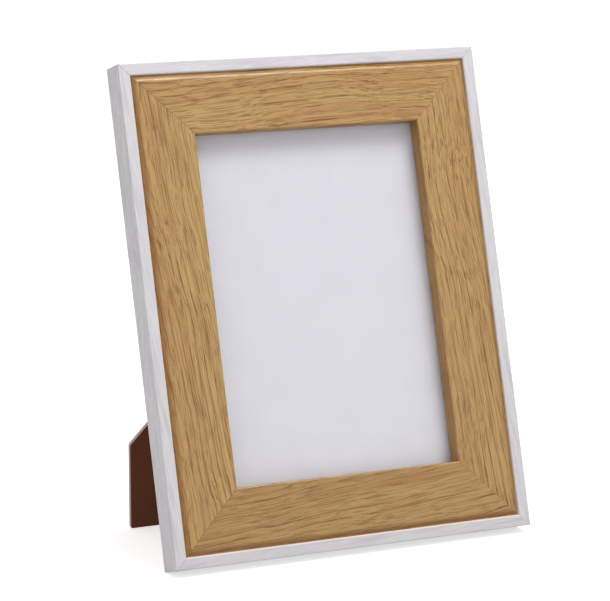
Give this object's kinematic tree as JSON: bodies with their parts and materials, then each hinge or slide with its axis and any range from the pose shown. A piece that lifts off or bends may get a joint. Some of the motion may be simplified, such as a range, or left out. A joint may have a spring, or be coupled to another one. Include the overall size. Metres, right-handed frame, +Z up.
{
  "type": "easel back photo frame",
  "caption": "Standing photo frame: oak moulding with a white outer edge, glass, blank print, back board under turn buttons, folding easel leg and ring hangers.",
  "frame": {"origin": "on the table, below the middle of the object's box", "axes": "+Z up, +X to the right as seen from the front, +Y to the back, towards the leg's foot"},
  "size_m": [0.19, 0.0945, 0.2347],
  "materials": {
    "white_wood": "whitewashed, satin",
    "oak": "oak grain, satin",
    "glass": "clear",
    "paper": "white paper",
    "grey_card": "grey card",
    "brown_board": "dark brown fibreboard, matt",
    "zinc_steel": "zinc plated",
    "bright_steel": "nickel plated",
    "brass": "brass plated"
  },
  "bodies": {
    "frame": {"white_strip_top": "white_wood", "oak_rail_top": "oak", "white_strip_bottom": "white_wood", "oak_rail_bottom": "oak", "white_strip_left": "white_wood", "oak_rail_left": "oak", "white_strip_right": "white_wood", "oak_rail_right": "oak", "corner_v_nails": "bright_steel", "glass": "glass", "blank_print": "paper", "filler_card": "grey_card", "back_board": "brown_board", "hinge_board_leaf": "zinc_steel", "hinge_pin": "zinc_steel", "hinge_board_rivets": "bright_steel", "hanger_rivets": "bright_steel", "turn_button_screws": "bright_steel", "hanger_strap_upright": "brass", "hanger_strap_sideways": "brass"},
    "leg": {"easel_leg": "brown_board", "hinge_leg_leaf": "zinc_steel", "hinge_leg_rivets": "bright_steel"},
    "ring_upright": {"hanger_ring_upright": "brass"},
    "ring_sideways": {"hanger_ring_sideways": "brass"},
    "button_top": {"turn_button_top": "zinc_steel"},
    "button_bottom": {"turn_button_bottom": "zinc_steel"},
    "button_left": {"turn_button_left": "zinc_steel"},
    "button_right": {"turn_button_right": "zinc_steel"}
  },
  "joints": [
    {"name": "leg_fold", "type": "hinge", "parent": "frame", "child": "leg", "pos_m": [0, 0.01172, 0.14846], "axis": [-1, 0, 0], "range_deg": [0, 29.2]},
    {"name": "button_bottom_turn", "type": "hinge", "parent": "frame", "child": "button_bottom", "pos_m": [0.045, -0.02666, 0.02163], "axis": [0, 0.9613, -0.2756], "continuous": true},
    {"name": "button_right_turn", "type": "hinge", "parent": "frame", "child": "button_right", "pos_m": [0.0725, 0.00021, 0.11535], "axis": [0, 0.9613, -0.2756], "continuous": true},
    {"name": "button_top_turn", "type": "hinge", "parent": "frame", "child": "button_top", "pos_m": [0, 0.02709, 0.20907], "axis": [0, 0.9613, -0.2756], "continuous": true},
    {"name": "button_left_turn", "type": "hinge", "parent": "frame", "child": "button_left", "pos_m": [-0.0725, 0.00021, 0.11535], "axis": [0, 0.9613, -0.2756], "continuous": true},
    {"name": "ring_upright_swing", "type": "hinge", "parent": "frame", "child": "ring_upright", "pos_m": [0, 0.01985, 0.17838], "axis": [-1, 0, 0], "range_deg": [-164, 6]},
    {"name": "ring_sideways_swing", "type": "hinge", "parent": "frame", "child": "ring_sideways", "pos_m": [0.038, 0.00166, 0.11494], "axis": [0, 0.2756, 0.9613], "range_deg": [0, 170]}
  ]
}
